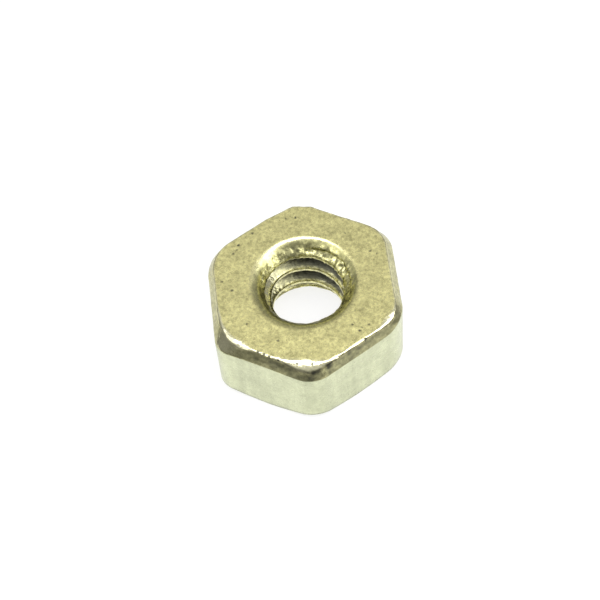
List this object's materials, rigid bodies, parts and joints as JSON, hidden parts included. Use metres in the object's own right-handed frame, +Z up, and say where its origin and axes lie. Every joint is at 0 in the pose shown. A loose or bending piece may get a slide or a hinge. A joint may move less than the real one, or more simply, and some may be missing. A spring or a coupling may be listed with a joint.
{
  "type": "hex nut",
  "caption": "Plain machine screw hex nut with a tapped through hole, countersunk at both ends, and chamfered corners.",
  "frame": {"origin": "centre of the bottom bearing face, on the axis of the threaded hole", "axes": "+Z up along the threaded hole, from the bearing face to the chamfered top face; +X through a corner of the hexagon; +Y square to a flat"},
  "size_m": [0.007, 0.0064, 0.0029],
  "materials": {
    "plated_steel": "pale yellow chromate plating, satin, lightly pitted, with bright worn edges"
  },
  "bodies": {
    "root": {"hex_nut": "plated_steel"}
  },
  "joints": []
}
